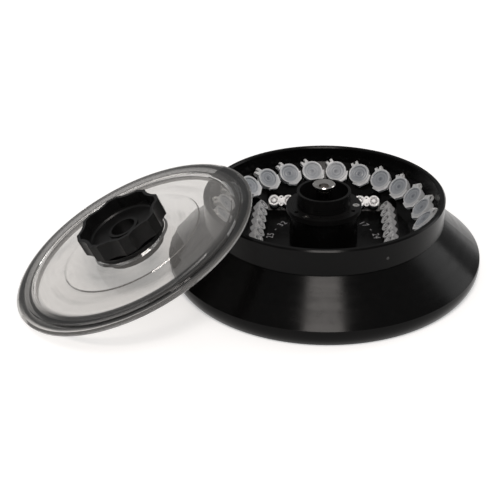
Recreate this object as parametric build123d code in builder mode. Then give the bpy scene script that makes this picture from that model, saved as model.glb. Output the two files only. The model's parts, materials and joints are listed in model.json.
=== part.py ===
"""Fixed-angle microcentrifuge rotor: 24 places for 1.5/2.0 ml tubes and four 8-tube PCR strips,
loaded, with its clear lid taken off and leaning against the rim.

Frame: millimetres, +Z up, origin on the rotor's axis at the base plane the rotor stands on.
"""
import os
from math import asin, atan2, cos, degrees, hypot, radians, sin, tan

from build123d import *

# ---------------------------------------------------------------- driving sizes: rotor body
rotor_h = 45.4             # base to the top of the rim
rim_r = 70.0               # outside of the cylindrical band
rim_wall = 3.4             # band wall at the rim
rim_chamfer = 0.8          # inner and outer edge of the rim
band_h = 14.3              # height of the cylindrical band
neck_depth = 0.9           # undercut line where the band meets the cone
neck_h = 1.2
flare_r = 92.0             # widest radius, over the tips of the tubes
flare_z = 10.0             # height of the widest radius
base_r = 89.4              # radius of the base plane after the rounding
floor_z = 13.5             # flat floor round the hub
shelf_z = 19.8             # shelf between the strip pockets and the conical seat

# tubes, 1.5 ml
tube_count = 24
tube_start = 7.5           # azimuth of the first place, degrees
tube_angle = 45.0          # tube axis against the vertical, degrees
seat_r = 61.1              # where a tube's axis crosses the conical seat
seat_z = 29.7
tube_r = 5.4               # body of the tube under its collar
tube_taper_r = 5.0         # end of the straight stretch
tube_straight = 20.0       # straight stretch below the seat
tube_len = 36.5            # collar underside to the tip
tube_tip_r = 1.8
tube_collar_r = 6.0
tube_collar_t = 2.1
cap_r = 6.5
cap_t = 2.3
cap_dish_r = 5.0           # shallow dish in the top of the cap
cap_dish = 0.6
hinge_turn = 38.0          # hinge against the outward direction, degrees
hinge_w = 1.5              # each of the two straps
hinge_gap = 1.5            # between the straps
hinge_t = 0.8
hinge_reach = 3.0          # how far the loop stands out from the cap
hinge_drop = 0.2           # top of the loop, below the cap's top
hinge_low = 0.7            # bottom of the loop, above the collar's underside
hinge_root = 1.0           # how deep the loop runs into cap and collar, and its lower corner
hinge_bend = 1.2           # its upper corner
lip_r = 8.7                # grip lip round the low side of the cap: its two middle corners
lip_end_r = 7.7            # and its two end corners
lip_step = 37.0            # angle between two corners
lip_gap = 0.5              # lip's inner edge, outside the dish
lip_drop = 0.3             # lip's top, below the cap's
bore_clear = 0.15          # radial room of a tube in its bore
spot_clear = 0.35          # radial room of a cap in the spot face round its bore
spot_reach = 6.0           # how far the spot face clears above the seat

# PCR strips, 8 tubes of 0.2 ml
strip_tubes = 8
strip_pitch = 9.0
strip_w = 42.0             # where the strip tubes' axes cross their facet, from the rotor's axis
strip_z = 16.8
facet_half = 4.2           # half width of the sloping facet
pocket_end = 4.4           # room beyond the end tube's axis
pocket_fillet = 4.0
pcr_r = 3.05               # PCR tube at the facet
pcr_upper_r = 3.3          # straight wall that stands above the facet
pcr_upper_h = 3.0
pcr_tip_r = 1.2
pcr_len = 17.0
pcr_collar_r = 3.6
pcr_collar_t = 1.6
web_w = 3.2                # band that joins the strip's tubes
web_t = 0.8
pcr_cap_r = 3.5
pcr_cap_t = 1.7
pcr_ring_r = 2.5           # annular groove in a strip cap
pcr_post_r = 1.2
pcr_groove = 0.9
link_w = 1.5               # cross bar between two strip caps
link_loop_r = 1.5          # small eye at each end of the cross bar
link_hole_r = 0.6
link_half = 1.9            # half spacing of the eyes
link_t = 0.9
pcr_clear = 0.12
pcr_reach = 1.0            # how far a strip tube's bore clears above the facet

# hub
hub_r = 20.3               # turned boss in the middle of the bowl
collar_flange_r = 22.1
collar_flange_t = 3.0
collar_top_z = 46.7
collar_r = 15.8            # threaded outside on which the lid's knob screws
collar_wall = 1.6
collar_base_z = 37.5       # top of the flange
web_top_z = 30.0           # hub web that carries the fixing screw
web_bottom_z = 22.0
drive_r = 10.0             # seat on the drive shaft
drive_depth = 14.0
relief_r = 8.0             # relief above the drive seat
collar_screws = 3
collar_screw_ring = 19.0
collar_screw_start = -2.0
collar_screw_head_r = 2.0
collar_screw_r = 1.25
collar_screw_len = 7.0
collar_socket_r = 0.9      # its hexagon, to the corners
collar_socket_depth = 1.0
spare_hole_turn = -24.0    # plain tapped holes beside the screws
spare_hole_r = 1.3

# fixing screw
screw_head_r = 6.6
screw_head_h = 4.2
screw_top_z = 50.9
screw_socket_af = 6.0      # hexagon across flats
screw_socket_depth = 2.8
screw_dish_r = 5.9         # conical dish round the socket
screw_dish = 1.3
screw_edge = 0.4
screw_shoulder_r = 4.6
screw_shank_r = 3.0
screw_end_z = 15.5
washer_r = 8.0
washer_t = 1.2
ring_t = 1.0               # retaining ring under the web
ring_r = 5.2
ring_groove = 0.6
running = 0.10             # radial running clearance of the screw in the web
face_gap = 0.20            # axial room beside turning faces

# lid
lid_r = 74.2
lid_edge_t = 2.4           # flange, outside the raised ring
lid_edge_chamfer = 0.7
lid_ring_r = 68.4          # raised ring
lid_ring_in_r = 62.2
lid_ring_h = 1.3
lid_ring_draft = 0.4       # slope of the ring's two sides
lid_step_r = 42.3          # small step round the middle
lid_step_h = 0.6
lid_boss_r = 22.0          # boss under the knob
lid_boss_h = 1.2
spigot_clear = 0.5         # spigot inside the rim
spigot_wall = 4.0
spigot_depth = 3.0
seal_r = 0.9               # half thickness of the seal ring
seal_bite = 0.15           # how far the seal stands out of its groove
lid_tilt = 22.2            # degrees, lid plane against the bench
lid_azimuth = 197.4        # direction in which the lid lies from the rotor
rest_gap = 0.03

# lid knob
knob_faces = 8
knob_apothem = 25.3
knob_turn = -155.7         # azimuth of one corner in the lid's own frame
knob_scallop_r = 17.0
knob_scallop_at = 40.2
knob_top = 17.4            # above the top of the lid's flange
knob_bottom = 6.8
knob_wall = 1.9
knob_floor = 9.6
knob_floor_r = 19.6
knob_ledge_h = 0.8
knob_neck_r = 16.0
knob_skirt_t = 1.0         # skirt on the gasket
knob_stem = 1.5            # stem above the skirt, wider than the neck
knob_hole_r = 7.2          # key passage to the fixing screw
knob_boss_r = 9.0
knob_boss_h = 1.0
neck_clear = 0.25
bush_wall = 1.9
bush_depth = 4.5           # threaded bush below the lid
bush_lip = 1.4
bush_inset = 3.0           # how far the bush's collar reaches in under the neck
bush_collar = 3.2
gasket_r = 21.6
gasket_t = 1.1
oring_r = 0.9

# ---------------------------------------------------------------- sizes that follow
rim_in_r = rim_r - rim_wall
band_z = rotor_h - band_h
ta = radians(tube_angle)
tube_plane = Plane(origin=(seat_r, 0, seat_z), x_dir=(cos(ta), 0, sin(ta)), z_dir=(-sin(ta), 0, cos(ta)))
facet_plane = Plane(origin=(strip_w, 0, strip_z), x_dir=(cos(ta), 0, sin(ta)), z_dir=(-sin(ta), 0, cos(ta)))


def seat_radius(z):
    """Radius of the conical seat at a height: the seat is square to the tubes' axes."""
    return seat_r + (z - seat_z) / tan(ta)


def facet_x(z):
    """Distance of a strip facet from the axis at a height."""
    return strip_w + (z - strip_z) / tan(ta)


def save(part, name):
    """Label one finished piece and write its file."""
    part.label = name
    export_step(part, f"parts/{name}.step")


os.makedirs("parts", exist_ok=True)

# ---------------------------------------------------------------- 1.5 ml tube, cap closed
# Local frame: origin where the axis meets the seat, +Z towards the cap, +X up the seat's slope.
cap_z = tube_collar_t + cap_t

with BuildPart() as tube:
    with BuildSketch(Plane.XZ):
        with BuildLine():
            Polyline(
                (0, cap_z - cap_dish), (cap_dish_r, cap_z - cap_dish), (cap_dish_r, cap_z), (cap_r, cap_z),
                (cap_r, tube_collar_t), (tube_collar_r, tube_collar_t), (tube_collar_r, 0), (tube_r, 0),
                (tube_taper_r, -tube_straight), (tube_tip_r, -tube_len + tube_tip_r),
            )
            RadiusArc((tube_tip_r, -tube_len + tube_tip_r), (0, -tube_len), tube_tip_r)
            Line((0, -tube_len), (0, cap_z - cap_dish))
        make_face()
    revolve(axis=Axis.Z)
    # living hinge: two straps that loop from the cap's edge down to the collar
    loop_top = cap_z - hinge_drop
    loop_bottom = hinge_low
    hinge_dir = Plane.XZ.rotated((0, 0, hinge_turn))
    with BuildSketch(hinge_dir):
        with BuildLine():
            Polyline(
                (cap_r - hinge_root, loop_top), (cap_r + hinge_reach - hinge_root, loop_top),
                (cap_r + hinge_reach, loop_top - hinge_bend), (cap_r + hinge_reach, loop_bottom + hinge_root),
                (cap_r + hinge_reach - hinge_root, loop_bottom), (tube_collar_r - hinge_root, loop_bottom),
                (tube_collar_r - hinge_root, loop_bottom + hinge_t), (cap_r + hinge_reach - 1.3, loop_bottom + hinge_t),
                (cap_r + hinge_reach - hinge_t, loop_bottom + hinge_bend),
                (cap_r + hinge_reach - hinge_t, loop_top - 1.4),
                (cap_r + hinge_reach - 1.3, loop_top - hinge_t), (cap_r - hinge_root, loop_top - hinge_t), close=True,
            )
        make_face()
    extrude(amount=hinge_gap / 2 + hinge_w, both=True)
    # the window between the two straps
    slot_at = cap_r + hinge_reach / 2 + 0.9
    slot_plane = Plane.XY.rotated((0, 0, hinge_turn))
    with BuildSketch(slot_plane.offset(-1)):
        with Locations((slot_at, 0)):
            Rectangle(hinge_reach, hinge_gap)
    extrude(amount=cap_z + 2, mode=Mode.SUBTRACT)
    # faceted grip lip on the side away from the hinge
    lip_at = [(lip_end_r, -1.5), (lip_r, -0.5), (lip_r, 0.5), (lip_end_r, 1.5)]
    lip_at = [(r, radians(hinge_turn + 180 + lip_step * step)) for r, step in lip_at]
    with BuildSketch(Plane.XY.offset(tube_collar_t)):
        with BuildLine():
            Polyline((0, 0), *[(r * cos(a), r * sin(a)) for r, a in lip_at], close=True)
        make_face()
        Circle(cap_dish_r + lip_gap, mode=Mode.SUBTRACT)
    extrude(amount=cap_t - lip_drop)

for i in range(tube_count):
    place = Rot(0, 0, tube_start + i * 360 / tube_count) * tube_plane.location
    save(place * tube.part, f"tube_{i + 1:02d}")

# bore for one tube, with room all round
with BuildPart() as tube_bore:
    with BuildSketch(Plane.XZ):
        with BuildLine():
            Polyline(
                (0, spot_reach), (cap_r + spot_clear, spot_reach), (cap_r + spot_clear, 0), (tube_r + bore_clear, 0),
                (tube_taper_r + bore_clear, -tube_straight), (tube_tip_r + bore_clear, -tube_len + tube_tip_r),
                (tube_tip_r + bore_clear, -tube_len - bore_clear), (0, -tube_len - bore_clear), close=True,
            )
        make_face()
    revolve(axis=Axis.Z)

# ---------------------------------------------------------------- PCR strip and its cap strip
# Local frame: origin at the middle of the facet, +Z up the tubes' axes, +Y along the strip.
strip_span = (strip_tubes - 1) * strip_pitch
pcr_rim_z = pcr_upper_h + pcr_collar_t

with BuildPart() as pcr_tube:
    with BuildSketch(Plane.XZ):
        with BuildLine():
            Polyline(
                (0, pcr_rim_z), (pcr_collar_r, pcr_rim_z), (pcr_collar_r, pcr_upper_h), (pcr_upper_r, pcr_upper_h),
                (pcr_upper_r, 0), (pcr_r, 0), (pcr_tip_r, -pcr_len), (0, -pcr_len), close=True,
            )
        make_face()
    revolve(axis=Axis.Z)

with BuildPart() as pcr_strip:
    with BuildSketch(Plane.XY.offset(pcr_upper_h)):
        Rectangle(web_w, strip_span)
    extrude(amount=web_t)
    with GridLocations(0, strip_pitch, 1, strip_tubes):
        add(pcr_tube.part)

with BuildPart() as pcr_caps:
    with BuildSketch(Plane.XY.offset(pcr_rim_z)):
        Rectangle(web_w, strip_span)
    extrude(amount=web_t)
    with BuildSketch(Plane.XY.offset(pcr_rim_z)):
        with GridLocations(0, strip_pitch, 1, strip_tubes):
            Circle(pcr_cap_r)
    extrude(amount=pcr_cap_t)
    with BuildSketch(Plane.XY.offset(pcr_rim_z + pcr_cap_t - pcr_groove)):
        with GridLocations(0, strip_pitch, 1, strip_tubes):
            Circle(pcr_ring_r)
            Circle(pcr_post_r, mode=Mode.SUBTRACT)
    extrude(amount=pcr_groove, mode=Mode.SUBTRACT)
    # cross bars with an eye at each end, between neighbouring caps
    with BuildSketch(Plane.XY.offset(pcr_rim_z)):
        with GridLocations(0, strip_pitch, 1, strip_tubes - 1):
            Rectangle(2 * link_half, link_w)
        with GridLocations(2 * link_half, strip_pitch, 2, strip_tubes - 1):
            Circle(link_loop_r)
            Circle(link_hole_r, mode=Mode.SUBTRACT)
    extrude(amount=link_t)

for i in range(4):
    place = Rot(0, 0, 90 * i) * facet_plane.location
    save(place * pcr_strip.part, f"pcr_strip_{i + 1}")
    save(place * pcr_caps.part, f"pcr_caps_{i + 1}")

with BuildPart() as pcr_bore:
    with BuildSketch(Plane.XZ):
        with BuildLine():
            Polyline(
                (0, pcr_reach), (pcr_r + pcr_clear, pcr_reach), (pcr_r + pcr_clear, 0),
                (pcr_tip_r + pcr_clear, -pcr_len - pcr_clear), (0, -pcr_len - pcr_clear), close=True,
            )
        make_face()
    revolve(axis=Axis.Z)

# ---------------------------------------------------------------- rotor body
tube_bore_placed = tube_plane.location * tube_bore.part
pcr_bore_placed = [facet_plane.location * Pos(0, y, 0) * pcr_bore.part
                   for y in [(i - (strip_tubes - 1) / 2) * strip_pitch for i in range(strip_tubes)]]

# trough with sloping sides, one facet for a strip at each side; two of them cross to make the square bowl
top_x = facet_x(shelf_z)
with BuildPart() as trough:
    with BuildSketch(Plane.XZ):
        with BuildLine():
            Polyline(
                (-facet_x(floor_z), floor_z), (facet_x(floor_z), floor_z), (top_x, shelf_z),
                (top_x, rotor_h), (-top_x, rotor_h), (-top_x, shelf_z), close=True,
            )
        make_face()
    extrude(amount=strip_span / 2 + pocket_end, both=True)
    fillet(trough.edges().filter_by(Axis.Z), pocket_fillet)
    Cylinder(hub_r, 3 * rotor_h, mode=Mode.SUBTRACT)

with BuildPart() as rotor_body:
    with BuildSketch(Plane.XZ):
        with BuildLine():
            Polyline(
                (drive_r, 0), (base_r, 0),
            )
            ThreePointArc(
                (base_r, 0),
                (base_r + 0.72 * (flare_r - base_r), 0.30 * flare_z),
                (flare_r, flare_z),
            )
            Polyline(
                (flare_r, flare_z), (rim_r - neck_depth, band_z - neck_h), (rim_r - neck_depth, band_z),
                (rim_r, band_z), (rim_r, rotor_h - rim_chamfer), (rim_r - rim_chamfer, rotor_h),
                (rim_in_r + rim_chamfer, rotor_h), (rim_in_r, rotor_h - rim_chamfer),
                (rim_in_r, seat_z + (rim_in_r - seat_r) * tan(ta)),
                (seat_radius(shelf_z), shelf_z), (hub_r, shelf_z),
                (hub_r, collar_base_z - collar_flange_t), (collar_r - collar_wall, collar_base_z - collar_flange_t),
                (collar_r - collar_wall, web_top_z), (screw_shank_r + running, web_top_z),
                (screw_shank_r + running, web_bottom_z), (relief_r, web_bottom_z), (relief_r, drive_depth),
                (drive_r, drive_depth), (drive_r, 0),
            )
        make_face()
    revolve(axis=Axis.Z)
    for turn in (0, 90):
        add(trough.part, rotation=(0, 0, turn), mode=Mode.SUBTRACT)
    with PolarLocations(0, tube_count, start_angle=tube_start):
        add(tube_bore_placed, mode=Mode.SUBTRACT)
    with PolarLocations(0, 4):
        add(pcr_bore_placed, mode=Mode.SUBTRACT)
    # tapped holes for the collar's screws
    with BuildSketch(Plane.XY.offset(collar_base_z - collar_flange_t)):
        with PolarLocations(collar_screw_ring, collar_screws, start_angle=collar_screw_start):
            Circle(collar_screw_r)
    extrude(amount=-collar_screw_len, mode=Mode.SUBTRACT)
save(rotor_body.part, "rotor_body")

# ---------------------------------------------------------------- threaded collar on the hub
with BuildPart() as lid_collar:
    with BuildSketch(Plane.XY.offset(collar_base_z - collar_flange_t)):
        Circle(collar_flange_r)
    extrude(amount=collar_flange_t)
    with BuildSketch(Plane.XY.offset(collar_base_z)):
        Circle(collar_r)
    extrude(amount=collar_top_z - collar_base_z)
    with BuildSketch(Plane.XY.offset(collar_base_z - collar_flange_t)):
        Circle(collar_r - collar_wall)
    extrude(amount=rotor_h, mode=Mode.SUBTRACT)
    with Locations(Plane.XY.offset(collar_base_z)):
        with PolarLocations(collar_screw_ring, collar_screws, start_angle=collar_screw_start):
            CounterSinkHole(collar_screw_r + 0.1, collar_screw_head_r + 0.1, collar_flange_t)
        with PolarLocations(collar_screw_ring, collar_screws, start_angle=collar_screw_start + spare_hole_turn):
            Hole(spare_hole_r, collar_flange_t)
save(lid_collar.part, "lid_collar")

with BuildPart() as collar_screw:
    with BuildSketch(Plane.XZ):
        with BuildLine():
            head_depth = collar_screw_head_r - collar_screw_r
            Polyline(
                (0, 0), (collar_screw_head_r, 0), (collar_screw_r, -head_depth),
                (collar_screw_r, -collar_screw_len), (0, -collar_screw_len), close=True,
            )
        make_face()
    revolve(axis=Axis.Z)
    with BuildSketch():
        RegularPolygon(collar_socket_r, 6)
    extrude(amount=-collar_socket_depth, mode=Mode.SUBTRACT)
with BuildPart() as collar_screw_set:
    with Locations((0, 0, collar_base_z)):
        with PolarLocations(collar_screw_ring, collar_screws, start_angle=collar_screw_start):
            add(collar_screw.part)
save(collar_screw_set.part, "collar_screws")

# ---------------------------------------------------------------- fixing screw, washer, retaining ring
head_z = screw_top_z - screw_head_h
ring_top_z = web_bottom_z - face_gap
with BuildPart() as shaft_screw:
    with BuildSketch(Plane.XZ):
        with BuildLine():
            Polyline(
                (0, screw_end_z), (screw_shank_r - 0.8, screw_end_z), (screw_shank_r, screw_end_z + 0.8),
                (screw_shank_r, ring_top_z - ring_t), (screw_shank_r - ring_groove, ring_top_z - ring_t),
                (screw_shank_r - ring_groove, ring_top_z), (screw_shank_r, ring_top_z),
                (screw_shank_r, web_top_z + washer_t + face_gap), (screw_shoulder_r, web_top_z + washer_t + face_gap),
                (screw_shoulder_r, head_z), (screw_head_r - 1.6, head_z), (screw_head_r, head_z + 1.6),
                (screw_head_r, screw_top_z - screw_edge), (screw_head_r - screw_edge, screw_top_z),
                (screw_dish_r, screw_top_z), (screw_socket_af / 2, screw_top_z - screw_dish),
                (0, screw_top_z - screw_dish), close=True,
            )
        make_face()
    revolve(axis=Axis.Z)
    with BuildSketch(Plane.XY.offset(screw_top_z - screw_dish)):
        RegularPolygon(screw_socket_af / 2, 6, major_radius=False)
    extrude(amount=-screw_socket_depth, mode=Mode.SUBTRACT)
save(shaft_screw.part, "shaft_screw")

with BuildPart() as screw_washer:
    with BuildSketch(Plane.XY.offset(web_top_z)):
        Circle(washer_r)
        Circle(screw_shank_r + running, mode=Mode.SUBTRACT)
    extrude(amount=washer_t)
save(screw_washer.part, "screw_washer")

with BuildPart() as retaining_ring:
    with BuildSketch(Plane.XY.offset(ring_top_z)):
        Circle(ring_r)
        Circle(screw_shank_r - ring_groove, mode=Mode.SUBTRACT)
        with Locations((ring_r, 0)):
            Rectangle(2 * ring_r, 2.2, mode=Mode.SUBTRACT)
    extrude(amount=-ring_t)
save(retaining_ring.part, "retaining_ring")

# ---------------------------------------------------------------- lid
# Local frame: origin on the lid's axis at the underside of its flange, +Z out of the top.
spigot_r = rim_in_r - spigot_clear
seal_z = -spigot_depth / 2
hole_r = knob_neck_r + neck_clear
plate_t = lid_edge_t
bush_r = collar_r + 0.2 + bush_wall

with BuildPart() as lid_shell:
    with BuildSketch(Plane.XZ):
        with BuildLine():
            Polyline(
                (hole_r, 0), (spigot_r - spigot_wall, 0), (spigot_r - spigot_wall, -spigot_depth),
                (spigot_r, -spigot_depth), (spigot_r, seal_z - seal_r),
                (spigot_r - 2 * seal_r + seal_bite, seal_z - seal_r),
                (spigot_r - 2 * seal_r + seal_bite, seal_z + seal_r), (spigot_r, seal_z + seal_r),
                (spigot_r, 0), (lid_r - lid_edge_chamfer, 0), (lid_r, lid_edge_chamfer),
                (lid_r, lid_edge_t - lid_edge_chamfer), (lid_r - 2 * lid_edge_chamfer, lid_edge_t),
                (lid_ring_r, lid_edge_t), (lid_ring_r - lid_ring_draft, lid_edge_t + lid_ring_h),
                (lid_ring_in_r + lid_ring_draft, lid_edge_t + lid_ring_h), (lid_ring_in_r, plate_t),
                (lid_step_r + lid_step_h, plate_t), (lid_step_r, plate_t + lid_step_h),
                (lid_boss_r + lid_boss_h, plate_t + lid_step_h), (lid_boss_r, plate_t + lid_step_h + lid_boss_h),
                (hole_r, plate_t + lid_step_h + lid_boss_h), close=True,
            )
        make_face()
    revolve(axis=Axis.Z)
    # groove for the knob's seal, in the wall of the hole
    seat_top = plate_t + lid_step_h + lid_boss_h
    oring_z = seat_top / 2
    with BuildSketch(Plane.XZ):
        with Locations((hole_r + oring_r - seal_bite, oring_z)):
            Rectangle(2 * oring_r, 2 * oring_r)
    revolve(axis=Axis.Z, mode=Mode.SUBTRACT)

with BuildPart() as lid_seal:
    with BuildSketch(Plane.XZ):
        with Locations((spigot_r - seal_r + seal_bite, seal_z)):
            Circle(seal_r)
    revolve(axis=Axis.Z)

with BuildPart() as knob_gasket:
    with BuildSketch(Plane.XY.offset(seat_top)):
        Circle(gasket_r)
        Circle(hole_r, mode=Mode.SUBTRACT)
    extrude(amount=gasket_t)

with BuildPart() as knob_seal:
    with BuildSketch(Plane.XZ):
        with Locations((hole_r + oring_r - seal_bite, oring_z)):
            Circle(oring_r)
    revolve(axis=Axis.Z)

# knob: an eight-sided cup with a scallop at every corner, on a neck through the lid
k_top = lid_edge_t + knob_top
k_bottom = lid_edge_t + knob_bottom
k_floor = lid_edge_t + knob_floor
with BuildPart() as lid_knob:
    with BuildSketch(Plane.XY.offset(k_bottom)) as outline:
        RegularPolygon(knob_apothem, knob_faces, major_radius=False, rotation=knob_turn)
        with PolarLocations(knob_scallop_at, knob_faces, start_angle=knob_turn):
            Circle(knob_scallop_r, mode=Mode.SUBTRACT)
    extrude(amount=k_top - k_bottom)
    with BuildSketch(Plane.XZ):
        with BuildLine():
            neck_top = seat_top + gasket_t + face_gap
            Polyline(
                (knob_hole_r, -face_gap), (knob_neck_r, -face_gap), (knob_neck_r, neck_top),
                (gasket_r, neck_top), (gasket_r, neck_top + knob_skirt_t),
                (knob_neck_r + knob_stem, neck_top + knob_skirt_t),
                (knob_neck_r + knob_stem, k_bottom + 0.01), (knob_hole_r, k_bottom + 0.01), close=True,
            )
        make_face()
    revolve(axis=Axis.Z)
    # recess, open upwards, with a small boss round the key passage
    with BuildSketch(Plane.XZ):
        with BuildLine():
            Polyline(
                (0, k_floor), (knob_floor_r, k_floor), (knob_floor_r + 0.8, k_floor + knob_ledge_h),
                (0, k_floor + knob_ledge_h), close=True,
            )
        make_face()
    revolve(axis=Axis.Z, mode=Mode.SUBTRACT)
    with BuildSketch(Plane.XY.offset(k_floor + knob_ledge_h)):
        RegularPolygon(knob_apothem - knob_wall, knob_faces, major_radius=False, rotation=knob_turn)
        with PolarLocations(knob_scallop_at, knob_faces, start_angle=knob_turn):
            Circle(knob_scallop_r + knob_wall, mode=Mode.SUBTRACT)
    extrude(amount=k_top - k_floor - knob_ledge_h, mode=Mode.SUBTRACT)
    with BuildSketch(Plane.XY.offset(k_floor - 1)):
        Circle(knob_boss_r)
    extrude(amount=1 + knob_boss_h)
    with BuildSketch(Plane.XY.offset(-1)):
        Circle(knob_hole_r)
    extrude(amount=k_top + 2, mode=Mode.SUBTRACT)
    # bore for the threaded bush, from below
    with BuildSketch(Plane.XY.offset(-1)):
        Circle(bush_r - bush_collar)
    extrude(amount=1 + lid_edge_t, mode=Mode.SUBTRACT)

# threaded bush: screws onto the hub's collar and holds the lid from below
with BuildPart() as knob_bush:
    with BuildSketch(Plane.XZ):
        with BuildLine():
            inner = collar_r + 0.15
            Polyline(
                (inner, -face_gap), (bush_r, -face_gap), (bush_r, -bush_depth - face_gap),
                (inner, -bush_depth - face_gap), close=True,
            )
        make_face()
    revolve(axis=Axis.Z)
    # collar of the bush that is pressed into the knob
    with BuildSketch(Plane.XZ):
        with BuildLine():
            Polyline(
                (inner - bush_inset, -face_gap - bush_lip), (inner, -face_gap - bush_lip), (inner, -face_gap),
                (bush_r - bush_collar, -face_gap), (bush_r - bush_collar, lid_edge_t),
                (inner - bush_inset, lid_edge_t), close=True,
            )
        make_face()
    revolve(axis=Axis.Z)


# ---------------------------------------------------------------- where the lid rests
def lid_plane(distance):
    """Plane of the flange's underside, its low edge on the bench, at a distance from the rotor's axis."""
    tilt = radians(lid_tilt)
    az = radians(lid_azimuth)
    low = lid_edge_chamfer
    height = (lid_r - low) * sin(tilt)
    height = max(height, lid_r * sin(tilt) - low * cos(tilt))
    normal = (sin(tilt) * cos(az), sin(tilt) * sin(az), cos(tilt))
    x_dir = (-cos(tilt) * cos(az), -cos(tilt) * sin(az), sin(tilt))
    return Plane(origin=(distance * cos(az), distance * sin(az), height), x_dir=x_dir, z_dir=normal)


def rim_clearance(distance):
    """Smallest gap between the lid's underside and the edge of the rim."""
    plane = lid_plane(distance)
    gap = rotor_h
    for i in range(720):
        a = radians(i / 2)
        for r, z in ((rim_r, rotor_h - rim_chamfer), (rim_r - rim_chamfer, rotor_h)):
            p = plane.to_local_coords(Vector(r * cos(a), r * sin(a), z))
            reach = hypot(p.X, p.Y)
            if reach < lid_r:
                depth = spigot_depth if spigot_r - spigot_wall < reach < spigot_r else 0
                gap = min(gap, -p.Z - depth)
    return gap


near, far = rim_r, rim_r + lid_r * cos(radians(lid_tilt)) - lid_edge_t
for _ in range(40):
    middle = (near + far) / 2
    if rim_clearance(middle) < rest_gap:
        near = middle
    else:
        far = middle
lid_place = lid_plane(far)
print("lid rests at", round(far, 2), "mm, height", round(lid_place.origin.Z, 2), "normal", lid_place.z_dir)

for piece, name in (
    (lid_shell, "lid_shell"), (lid_seal, "lid_seal"), (knob_gasket, "knob_gasket"), (knob_seal, "knob_seal"),
    (lid_knob, "lid_knob"), (knob_bush, "knob_bush"),
):
    save(lid_place.location * piece.part, name)
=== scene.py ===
# %% [markdown]
# # A fixed angle rotor, loaded, with its clear lid beside it
# The rotor is one block of black anodised aluminium. Around it sit small clear and cloudy plastic pieces,
# and the challenge of this scene is that contrast: a black that still shows its turned surface, and
# plastics that let light through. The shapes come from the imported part; here they get their finishes.

# %% Load the frame
import json
from math import cos, pi, radians, sin

import bmesh
import bpy
from mathutils import Matrix, Vector


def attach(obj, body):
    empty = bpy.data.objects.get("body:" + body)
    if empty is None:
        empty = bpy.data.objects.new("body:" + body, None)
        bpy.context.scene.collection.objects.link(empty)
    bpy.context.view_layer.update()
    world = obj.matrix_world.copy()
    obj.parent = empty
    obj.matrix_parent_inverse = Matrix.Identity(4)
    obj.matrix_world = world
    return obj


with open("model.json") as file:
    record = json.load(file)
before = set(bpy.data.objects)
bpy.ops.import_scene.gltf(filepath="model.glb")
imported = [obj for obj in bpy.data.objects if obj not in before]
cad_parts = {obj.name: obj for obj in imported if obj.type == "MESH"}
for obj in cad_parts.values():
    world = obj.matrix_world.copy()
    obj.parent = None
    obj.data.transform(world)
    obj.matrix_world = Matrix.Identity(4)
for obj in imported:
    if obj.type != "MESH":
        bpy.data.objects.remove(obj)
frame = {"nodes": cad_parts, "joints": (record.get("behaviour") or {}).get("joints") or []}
nodes = frame["nodes"]
joint = {j["name"]: j for j in frame["joints"]}
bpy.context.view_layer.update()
scene = bpy.context.scene

# %% [markdown]
# ## Camera
# A short telephoto lens, looking down on the object by about thirty degrees. The camera is built from where it
# stands and what it looks at; a small roll tips the horizon by under two degrees.

# %% Camera
def look_at(position, target, roll):
    """World matrix of a camera at position that looks at target, tipped by roll."""
    forward = (Vector(target) - Vector(position)).normalized()
    right = forward.cross(Vector((0, 0, 1))).normalized()
    up = right.cross(forward)
    tipped_right = cos(roll) * right + sin(roll) * up
    tipped_up = cos(roll) * up - sin(roll) * right
    turn = Matrix((tipped_right, tipped_up, -forward)).transposed().to_4x4()
    return Matrix.Translation(position) @ turn


camera = bpy.data.objects.new("camera", bpy.data.cameras.new("camera"))
camera.data.sensor_width = 36
camera.data.lens = 64.8
camera.data.clip_start = 0.01
camera.matrix_world = look_at((0, -0.475713, 0.276991), (-0.044456, 0, 0.005733), radians(-1.86))
scene.collection.objects.link(camera)
scene.camera = camera
scene.view_settings.view_transform = "Standard"
print("camera at", tuple(round(v, 3) for v in camera.location), "lens", camera.data.lens)

# %% [markdown]
# ## Floor and light
# Black parts are lit by what they reflect. One large soft box above and a little in front draws the upright
# patch on the cone and the bright arc on the rim; a second, weaker one at the right opens up that side. The
# world gives an even grey fill. The floor is matte white: where the camera, a shiny surface or clear plastic
# looks at it, a little white is added, so that it reads as white paper and still keeps the shadows.

# %% Helpers for materials
def new_material(name):
    """A node material with one Principled shader; returns the material, its tree and the shader."""
    material = bpy.data.materials.new(name)
    material.use_nodes = True
    tree = material.node_tree
    shader = tree.nodes["Principled BSDF"]
    return material, tree, shader


def add_node(tree, kind, **settings):
    """Adds a node; settings with a plain name are attributes, the rest are socket values by name."""
    node = tree.nodes.new(kind)
    for key, value in settings.items():
        if key in node.bl_rna.properties:
            setattr(node, key, value)
        else:
            node.inputs[key.replace("_", " ")].default_value = value
    return node


def calc(tree, operation, a, b=None, c=None):
    """A Math node on sockets or numbers; returns its output."""
    node = tree.nodes.new("ShaderNodeMath")
    node.operation = operation
    for slot, value in zip(node.inputs, (a, b, c)):
        if value is None:
            continue
        if isinstance(value, (int, float)):
            slot.default_value = value
        else:
            tree.links.new(value, slot)
    return node.outputs[0]


def long_side(tree, a, b):
    """Length of the long side of a right triangle with the sides a and b."""
    return calc(tree, "SQRT", calc(tree, "ADD", calc(tree, "MULTIPLY", a, a), calc(tree, "MULTIPLY", b, b)))


def vector_calc(tree, operation, a, b=None):
    """A Vector Math node on a socket and a vector; returns the node."""
    node = tree.nodes.new("ShaderNodeVectorMath")
    node.operation = operation
    tree.links.new(a, node.inputs[0])
    if b is not None:
        node.inputs[1].default_value = b
    return node


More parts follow.
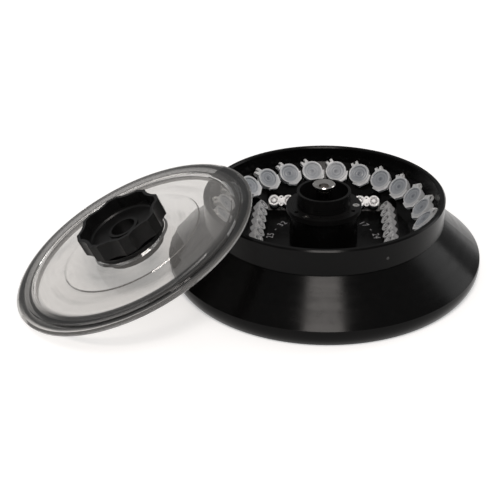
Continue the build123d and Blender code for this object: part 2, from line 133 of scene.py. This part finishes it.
def ramp(tree, source, stops):
    """A ColorRamp with (position, grey or colour) stops; returns its colour output."""
    node = tree.nodes.new("ShaderNodeValToRGB")
    elements = node.color_ramp.elements
    while len(elements) < len(stops):
        elements.new(0.5)
    for element, (position, colour) in zip(elements, stops):
        element.position = position
        element.color = (colour, colour, colour, 1) if isinstance(colour, (int, float)) else (*colour, 1)
    tree.links.new(source, node.inputs["Fac"])
    return node.outputs["Color"]


def bump(tree, shader, height, distance):
    """Bump at full strength from a height socket, distance in metres."""
    node = add_node(tree, "ShaderNodeBump", Strength=1.0, Distance=distance)
    tree.links.new(height, node.inputs["Height"])
    tree.links.new(node.outputs["Normal"], shader.inputs["Normal"])


def position(tree):
    """Object coordinates in metres, whole and split in X, Y and Z."""
    coords = tree.nodes.new("ShaderNodeTexCoord")
    split = tree.nodes.new("ShaderNodeSeparateXYZ")
    tree.links.new(coords.outputs["Object"], split.inputs[0])
    return coords.outputs["Object"], split.outputs[0], split.outputs[1], split.outputs[2]


def noise(tree, coords, scale, detail=3.0, roughness=0.5):
    """Noise of a given scale, in cells a metre; returns its factor."""
    node = add_node(tree, "ShaderNodeTexNoise", Scale=scale, Detail=detail, Roughness=roughness)
    tree.links.new(coords, node.inputs["Vector"])
    return node.outputs["Fac"]


def dress(names, material):
    """Gives CAD nodes a material."""
    for name in names:
        data = nodes[name].data
        data.materials.clear()
        data.materials.append(material)
    print(material.name, "on", len(names), "node(s)")


# %% Floor, world and lamps
floor_radius = 80                 # so wide that its edge lies close to the horizon
floor_drop = 0.0002               # just under the object, so that no two faces share a plane

floor_mesh = bmesh.new()
bmesh.ops.create_circle(floor_mesh, cap_ends=True, radius=floor_radius, segments=96)
floor_data = bpy.data.meshes.new("floor")
floor_mesh.to_mesh(floor_data)
floor_mesh.free()
floor = bpy.data.objects.new("floor", floor_data)
floor.location.z = -floor_drop
scene.collection.objects.link(floor)

paper, tree, shader = new_material("white_paper")
shader.inputs["Base Color"].default_value = (0.80, 0.80, 0.80, 1)
shader.inputs["Roughness"].default_value = 1.0
shader.inputs["Specular IOR Level"].default_value = 0.0
rays = tree.nodes.new("ShaderNodeLightPath")
seen = calc(tree, "MAXIMUM", rays.outputs["Is Camera Ray"], rays.outputs["Is Transmission Ray"])
seen = calc(tree, "MAXIMUM", seen, rays.outputs["Is Glossy Ray"])
shader.inputs["Emission Color"].default_value = (1, 1, 1, 1)
x, y = position(tree)[1:3]
away = long_side(tree, x, y)
glow = ramp(tree, away, [(0.12, 0.44), (0.55, 0.80)])
tree.links.new(calc(tree, "MULTIPLY", seen, glow), shader.inputs["Emission Strength"])
floor_data.materials.append(paper)

world = bpy.data.worlds.new("studio")
scene.world = world
world.use_nodes = True
world.node_tree.nodes["Background"].inputs["Color"].default_value = (1.0, 1.0, 1.0, 1)
world.node_tree.nodes["Background"].inputs["Strength"].default_value = 0.30


def soft_box(name, place, target, size, radiance, colour=(1, 1, 1)):
    """A rectangular lamp that faces target; radiance is its brightness, whatever its size."""
    data = bpy.data.lights.new(name, "AREA")
    data.shape = "RECTANGLE"
    data.size, data.size_y = size
    data.color = colour
    data.energy = radiance * pi * size[0] * size[1]
    lamp = bpy.data.objects.new(name, data)
    lamp.location = place
    lamp.rotation_euler = (Vector(target) - Vector(place)).to_track_quat("-Z", "Y").to_euler()
    scene.collection.objects.link(lamp)
    print(name, "watts", round(data.energy, 2))


soft_box("key_box", (0.02, -0.60, 1.12), (0, -0.05, 0.03), (0.42, 0.42), 15.0, (1.0, 0.94, 0.90))
soft_box("side_box", (1.1, 0.5, 0.7), (0, 0, 0.03), (0.5, 0.8), 2.0)

# %% [markdown]
# ## Black anodised aluminium
# The body is turned on a lathe and then dyed black, so its colour is deep but not flat: the tool leaves rings
# round the axis finer than a hair. Rings spread a highlight up and down, across them, and keep it sharp
# sideways. That is anisotropy: the tangent runs round the axis, and a quarter turn of the rotation points the
# blur across the rings. A fine wave of the radius adds the rings themselves.

# %% Anodised finish
def anodised(name, base=0.0024, roughness=0.22, ring_pitch=0.00035, ring_depth=0.000002):
    """Dyed black metal with the rings of the lathe; pitch and depth of the rings are in metres."""
    material, tree, shader = new_material(name)
    coords, x, y, z = position(tree)
    radius = long_side(tree, x, y)
    # distance along the profile: radius and height together, so walls and faces both get rings
    along = calc(tree, "ADD", radius, z)
    rings = calc(tree, "SINE", calc(tree, "MULTIPLY", along, 2 * pi / ring_pitch))
    # the feed of the tool is never quite even, so some rings are a little brighter than others
    streak = add_node(tree, "ShaderNodeTexNoise", noise_dimensions="1D", Scale=1300, Detail=3, Roughness=0.7)
    tree.links.new(along, streak.inputs["W"])
    cloud = noise(tree, coords, 260, 4)
    grain = noise(tree, coords, 2600, 2)
    tone = calc(tree, "ADD", calc(tree, "MULTIPLY", cloud, 0.7), calc(tree, "MULTIPLY", grain, 0.3))
    tree.links.new(ramp(tree, tone, [(0.3, (base * 0.8,) * 3), (0.7, (base * 1.25, base * 1.2, base * 1.2))]),
                   shader.inputs["Base Color"])
    uneven = calc(tree, "ADD", calc(tree, "MULTIPLY", cloud, 0.08), calc(tree, "MULTIPLY", streak.outputs["Fac"], 0.16))
    rough = calc(tree, "ADD", uneven, roughness - 0.12)
    tree.links.new(rough, shader.inputs["Roughness"])
    shader.inputs["Specular IOR Level"].default_value = 0.10
    shader.inputs["Anisotropic"].default_value = 0.6
    shader.inputs["Anisotropic Rotation"].default_value = 0.25
    tangent = add_node(tree, "ShaderNodeTangent", direction_type="RADIAL", axis="Z")
    tree.links.new(tangent.outputs[0], shader.inputs["Tangent"])
    height = calc(tree, "ADD", calc(tree, "MULTIPLY", rings, 0.5), calc(tree, "MULTIPLY", grain, 0.6))
    bump(tree, shader, height, ring_depth)
    return material


dress(["rotor_body"], anodised("anodised_black"))
dress(["lid_collar"], anodised("anodised_collar", base=0.005, roughness=0.30))
dress(["knob_bush"], anodised("anodised_bush", base=0.010, roughness=0.35))

# %% [markdown]
# ## Steel screws
# The fixing screw is bright turned steel: a metal has no colour of its own besides its reflection, so the
# shader is fully metallic, smooth, with fine rings of the lathe.

# %% Steel finish
def steel(name, tint, roughness, ring_pitch=0.00022):
    """Turned steel of a given tint, with rings finer than those of the body."""
    material, tree, shader = new_material(name)
    coords, x, y, z = position(tree)
    radius = long_side(tree, x, y)
    rings = calc(tree, "SINE", calc(tree, "MULTIPLY", calc(tree, "ADD", radius, z), 2 * pi / ring_pitch))
    smudge = noise(tree, coords, 500, 4)
    tree.links.new(ramp(tree, smudge, [(0.3, [c * 0.9 for c in tint]), (0.7, tint)]), shader.inputs["Base Color"])
    tree.links.new(calc(tree, "ADD", calc(tree, "MULTIPLY", smudge, 0.12), roughness - 0.06),
                   shader.inputs["Roughness"])
    shader.inputs["Metallic"].default_value = 1.0
    bump(tree, shader, rings, 0.000001)
    return material


dress(["collar_screws"], steel("screw_steel", (0.80, 0.79, 0.77), 0.22))
dress(["shaft_screw", "screw_washer"], steel("turned_steel", (0.56, 0.54, 0.52), 0.17))
dress(["retaining_ring"], steel("spring_steel", (0.35, 0.34, 0.33), 0.35))

# %% [markdown]
# ## Cloudy polypropylene tubes
# Micro tubes are moulded from polypropylene, which is not clear but milky: light goes in, is scattered and
# comes out somewhere else, so edges look bright and thick places look dim. A part of the light is let through
# and the rest scattered. The caps' colour is painted by the distance from their middle: a dark middle as painted
# shade, rings of the moulding, and a bright edge as painted light. To draw this on all tubes at once, the position
# is folded into one sector of the ring and then measured up the slope of the seat.

# %% Tube finish
def fold_round(tree, x, y, start, step):
    """Folds a position round the Z axis into one sector; returns the folded X and Y."""
    angle = calc(tree, "ARCTAN2", y, x)
    radius = long_side(tree, x, y)
    folded = calc(tree, "WRAP", calc(tree, "SUBTRACT", angle, start), step / 2, -step / 2)
    return (calc(tree, "MULTIPLY", radius, calc(tree, "COSINE", folded)),
            calc(tree, "MULTIPLY", radius, calc(tree, "SINE", folded)))


def up_slope(tree, x, z, at_x, at_z, angle):
    """How far up its slope a folded X and Z lie from the point where a leaning piece stands."""
    dx, dz = calc(tree, "SUBTRACT", x, at_x), calc(tree, "SUBTRACT", z, at_z)
    return calc(tree, "ADD", calc(tree, "MULTIPLY", dx, cos(angle)), calc(tree, "MULTIPLY", dz, sin(angle)))


lean = radians(45)
tube_seat = (0.0611, 0.0297)      # where a tube's axis meets the seat: radius and height
tube_start, tube_step = radians(7.5), radians(15)
cap_reach = 0.0090                # the tones of the cap run from its middle to here
cap_ring_pitch = 0.0016

material, tree, shader = new_material("milky_tube")
coords, x, y, z = position(tree)
fx, fy = fold_round(tree, x, y, tube_start, tube_step)
slope = up_slope(tree, fx, z, *tube_seat, lean)
from_axis = long_side(tree, slope, fy)
spread = calc(tree, "DIVIDE", from_axis, cap_reach)
# painted by distance from the cap's middle: a dark middle as painted shade, moulding rings, a bright edge as painted
# light
tone = ramp(tree, spread, [(0.0, (0.20, 0.22, 0.26)), (0.08, (0.24, 0.26, 0.30)), (0.19, (0.47, 0.50, 0.54)),
                           (0.33, (0.40, 0.43, 0.47)), (0.43, (0.52, 0.55, 0.59)), (0.56, (0.46, 0.49, 0.53)),
                           (0.66, (0.82, 0.84, 0.86)), (1.0, (0.95, 0.96, 0.96))])
tree.links.new(tone, shader.inputs["Base Color"])
shader.inputs["Roughness"].default_value = 0.30
shader.inputs["IOR"].default_value = 1.49
shader.inputs["Transmission Weight"].default_value = 0.45
waves = calc(tree, "SINE", calc(tree, "MULTIPLY", from_axis, 2 * pi / cap_ring_pitch))
bump(tree, shader, calc(tree, "ADD", waves, noise(tree, coords, 900, 3)), 0.00006)
dress([f"tube_{i:02d}" for i in range(1, 25)], material)

# %% [markdown]
# ## Strips of small tubes and their caps
# The strips are thinner and clearer than the tubes, and every cap has a ring and a centre post that catch the
# light: the colour is painted light in the middle as a painted highlight of the post, dark in a ring, and light
# outside. The same folding works here, four sides round the hub and then one cell of nine millimetres a tube.

# %% Strip finish
strip_facet = (0.042, 0.0168)      # where the small tubes' axes cross their facet: distance from the axis and height
pitch = 0.009
strip_cap_reach = 0.0035


def strip_plastic(name, dark, light, clear):
    """Clear plastic, painted dark in a ring round the axis of every small tube and light in the middle as a painted
    highlight.
    """
    material, tree, shader = new_material(name)
    coords, x, y, z = position(tree)
    fx, fy = fold_round(tree, x, y, 0.0, radians(90))
    slope = up_slope(tree, fx, z, *strip_facet, lean)
    cell = calc(tree, "WRAP", calc(tree, "SUBTRACT", fy, pitch / 2), pitch / 2, -pitch / 2)
    from_axis = long_side(tree, slope, cell)
    spread = calc(tree, "DIVIDE", from_axis, strip_cap_reach)
    # painted highlight in the middle, a dark ring, light outside
    tone = ramp(tree, spread, [(0.0, light), (0.28, light), (0.42, dark), (0.62, dark), (0.74, light), (1.0, light)])
    tree.links.new(tone, shader.inputs["Base Color"])
    shader.inputs["Roughness"].default_value = 0.16
    shader.inputs["IOR"].default_value = 1.5
    shader.inputs["Transmission Weight"].default_value = clear
    bump(tree, shader, noise(tree, coords, 1400, 3), 0.00012)
    return material


strip_tubes = strip_plastic("strip_tubes", (0.34, 0.35, 0.37), (0.70, 0.71, 0.73), 0.5)
strip_caps = strip_plastic("strip_caps", (0.16, 0.16, 0.17), (0.86, 0.87, 0.88), 0.55)
dress([f"pcr_strip_{i}" for i in range(1, 5)], strip_tubes)
dress([f"pcr_caps_{i}" for i in range(1, 5)], strip_caps)

# %% [markdown]
# ## Place numbers and index mark
# The floor of the bowl carries numbers for the places of the strips, and the band has one small round mark to
# find the first place again. Both are paint, so they have a shape and hardly any thickness. Each digit is a text
# curve turned into a mesh, then turned into its place on a circle round the hub.

# %% Numbers on the bowl's floor
def paint(name, grain, dark, light):
    """Worn print: a little lighter and darker from place to place."""
    material, tree, shader = new_material(name)
    coords = position(tree)[0]
    worn = ramp(tree, noise(tree, coords, grain, 3), [(0.35, dark), (0.65, light)])
    tree.links.new(worn, shader.inputs["Base Color"])
    shader.inputs["Roughness"].default_value = 0.6
    return material


pale_paint = paint("pale_paint", 2500, (0.20, 0.20, 0.21), (0.36, 0.36, 0.37))
worn_paint = paint("worn_paint", 3000, (0.02, 0.02, 0.02), (0.06, 0.06, 0.06))
paint_lift = 0.00003              # how far the paint stands off its metal

bowl_floor = 0.0135
number_circle = 0.0306
number_height = 0.0042
font_size = number_height * 1.42  # a digit is about 0.7 of its font's size


def arc_text(name, words, middle, step):
    """Flat digits on the bowl's floor, along a circle round the hub, their tops pointing outwards."""
    made = bmesh.new()
    for index, sign in enumerate(words):
        if sign == " ":
            continue
        curve = bpy.data.curves.new("digit", "FONT")
        curve.body = sign
        curve.size = font_size
        curve.align_x = "CENTER"
        curve.resolution_u = 4
        digit = bpy.data.objects.new("digit", curve)
        scene.collection.objects.link(digit)
        bpy.context.view_layer.update()
        mesh = bpy.data.meshes.new_from_object(digit)
        angle = middle - (index - (len(words) - 1) / 2) * step
        out = Matrix.Translation((0, number_circle, bowl_floor + paint_lift))
        mesh.transform(Matrix.Rotation(angle - radians(90), 4, "Z") @ out)
        made.from_mesh(mesh)
        bpy.data.objects.remove(digit)
        bpy.data.meshes.remove(mesh)
    data = bpy.data.meshes.new(name)
    made.to_mesh(data)
    made.free()
    data.materials.append(pale_paint)
    piece = bpy.data.objects.new(name, data)
    scene.collection.objects.link(piece)
    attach(piece, "rotor")
    print(name, "faces", len(data.polygons))


arc_text("strip_numbers_left", "25 - 32", radians(157), radians(6.0))
arc_text("strip_numbers_right", "17 - 24", radians(25), radians(6.0))

# %% Index mark on the band
band_radius = 0.070
mark_angle, mark_height, mark_radius = radians(-60.8), 0.0368, 0.0009
mark = bmesh.new()
bmesh.ops.create_circle(mark, cap_ends=True, radius=mark_radius, segments=32)
for vert in mark.verts:
    across, up = vert.co.x, vert.co.y
    angle = mark_angle + across / band_radius
    reach = band_radius + paint_lift
    vert.co = (reach * cos(angle), reach * sin(angle), mark_height + up)
bmesh.ops.recalc_face_normals(mark, faces=mark.faces)
mark_data = bpy.data.meshes.new("index_mark")
mark.to_mesh(mark_data)
mark.free()
mark_data.materials.append(worn_paint)
index_mark = bpy.data.objects.new("index_mark", mark_data)
scene.collection.objects.link(index_mark)
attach(index_mark, "rotor")
print("index mark at height", mark_height)

# %% [markdown]
# ## Clear lid
# The lid is clear and faintly grey, with dark rings at the flange and the spigot, which are painted by radius.
# Clear plastic would cast a solid shadow in a path tracer, because lamps are not seen through it, so for shadow
# and diffuse rays the shader becomes a thin grey filter.

# %% Lid finish
lid_centre = Vector(joint["lid_knob_turn"]["pos_m"])
lid_axis = Vector(joint["lid_knob_turn"]["axis"]).normalized()


def lid_position(tree):
    """Object coordinates, the vector from the lid's centre, and the distance from the lid's axis, in metres."""
    coords = tree.nodes.new("ShaderNodeTexCoord").outputs["Object"]
    offset = vector_calc(tree, "SUBTRACT", coords, lid_centre).outputs[0]
    height = vector_calc(tree, "DOT_PRODUCT", offset, lid_axis).outputs["Value"]
    reach = vector_calc(tree, "LENGTH", offset).outputs["Value"]
    radius = calc(tree, "SQRT", calc(tree, "SUBTRACT", calc(tree, "MULTIPLY", reach, reach),
                                     calc(tree, "MULTIPLY", height, height)))
    return coords, offset, radius


# The rings are painted darker towards -Y, the side near the camera, and stay there whichever side they are seen
# from: they stand in for what the edges of clear plastic show of a dark room, and there is no room here.
lid_radius = 0.0742
toward_front = Vector((0, -1, 0))
front_side = (toward_front - lid_axis * lid_axis.dot(toward_front)).normalized()
warm = Vector((1.0, 0.985, 0.965))


def ring_tints(tree, spread, stops):
    """Tints by radius: stops hold a radius in millimetres and a grey."""
    return ramp(tree, spread, [(radius / (1000 * lid_radius), tuple(warm * grey)) for radius, grey in stops])


material, tree, shader = new_material("clear_lid")
coords, from_centre, radius = lid_position(tree)
spread = calc(tree, "DIVIDE", radius, lid_radius)
far_rings = ring_tints(tree, spread, [
    (0.0, 0.86), (41.4, 0.86), (42.3, 0.74), (43.6, 0.86), (62.4, 0.86), (64.6, 0.46),
    (67.0, 0.22), (68.4, 0.30), (69.4, 0.04), (72.3, 0.04), (73.2, 0.60), (74.2, 0.85)])
near_rings = ring_tints(tree, spread, [
    (0.0, 0.84), (41.4, 0.84), (42.3, 0.66), (44.5, 0.76), (59.4, 0.82), (61.4, 0.14), (63.6, 0.03),
    (65.8, 0.03), (67.0, 0.13), (69.2, 0.13), (70.6, 0.03), (71.8, 0.80), (74.2, 0.95)])
aside = vector_calc(tree, "DOT_PRODUCT", from_centre, front_side)
toward = calc(tree, "DIVIDE", aside.outputs["Value"], radius)
side = add_node(tree, "ShaderNodeMapRange", interpolation_type="SMOOTHSTEP", From_Min=0.25, From_Max=0.92)
tree.links.new(toward, side.inputs["Value"])
rings_mix = add_node(tree, "ShaderNodeMix", data_type="RGBA")
tree.links.new(side.outputs[0], rings_mix.inputs[0])
tree.links.new(far_rings, rings_mix.inputs[6])
tree.links.new(near_rings, rings_mix.inputs[7])
# painted reflection: long soft arcs, lighter and darker, round the lid's middle
painted_arcs_across, painted_arcs_along = 150, 1.6
painted_arcs_at = tree.nodes.new("ShaderNodeCombineXYZ")
tree.links.new(calc(tree, "MULTIPLY", radius, painted_arcs_across), painted_arcs_at.inputs[0])
tree.links.new(calc(tree, "MULTIPLY", toward, painted_arcs_along), painted_arcs_at.inputs[1])
painted_arcs = ramp(tree, noise(tree, painted_arcs_at.outputs[0], 1.0, 3, 0.6), [(0.34, 0.86), (0.50, 1.0), (0.60, 0.95), (0.70, 1.04)])
# the lid's colour: painted rings times painted reflection arcs
tinted = add_node(tree, "ShaderNodeMix", data_type="RGBA", blend_type="MULTIPLY")
tinted.inputs[0].default_value = 1.0
tree.links.new(rings_mix.outputs[2], tinted.inputs[6])
tree.links.new(painted_arcs, tinted.inputs[7])
tree.links.new(tinted.outputs[2], shader.inputs["Base Color"])
shader.inputs["Roughness"].default_value = 0.03
shader.inputs["IOR"].default_value = 1.58
# a little haze: fine scratches and dust scatter some light, which shows where the lid lies over black
shader.inputs["Transmission Weight"].default_value = 0.91
bump(tree, shader, noise(tree, coords, 60, 2), 0.00008)
filter_ = add_node(tree, "ShaderNodeBsdfTransparent")
filter_.inputs["Color"].default_value = (0.86, 0.85, 0.84, 1)
rays = tree.nodes.new("ShaderNodeLightPath")
mix = tree.nodes.new("ShaderNodeMixShader")
tree.links.new(calc(tree, "MAXIMUM", rays.outputs["Is Shadow Ray"], rays.outputs["Is Diffuse Ray"]), mix.inputs["Fac"])
tree.links.new(shader.outputs[0], mix.inputs[1])
tree.links.new(filter_.outputs[0], mix.inputs[2])
tree.links.new(mix.outputs[0], tree.nodes["Material Output"].inputs["Surface"])
dress(["lid_shell"], material)

# %% [markdown]
# ## Knob and seals
# The knob is moulded black plastic: a smooth sheen, slightly uneven. The seals are matte rubber.

# %% Knob and rubber finishes
def black_plastic(name, base, roughness, specular):
    """Black plastic or rubber, with a slightly uneven sheen and a fine grain."""
    material, tree, shader = new_material(name)
    coords = position(tree)[0]
    cloud = noise(tree, coords, 180, 4)
    grain = noise(tree, coords, 3500, 2)
    tree.links.new(ramp(tree, cloud, [(0.3, (base * 0.8,) * 3), (0.7, (base * 1.3,) * 3)]), shader.inputs["Base Color"])
    tree.links.new(calc(tree, "ADD", calc(tree, "MULTIPLY", cloud, 0.12), roughness - 0.06),
                   shader.inputs["Roughness"])
    shader.inputs["Specular IOR Level"].default_value = specular
    bump(tree, shader, grain, 0.00002)
    return material


dress(["lid_knob"], black_plastic("knob_black", 0.006, 0.34, 0.22))
dress(["lid_seal", "knob_gasket", "knob_seal"], black_plastic("black_rubber", 0.012, 0.6, 0.2))

# %% [markdown]
# ## Finish
# The view layer is brought up to date.

# %% Update the view layer
bpy.context.view_layer.update()
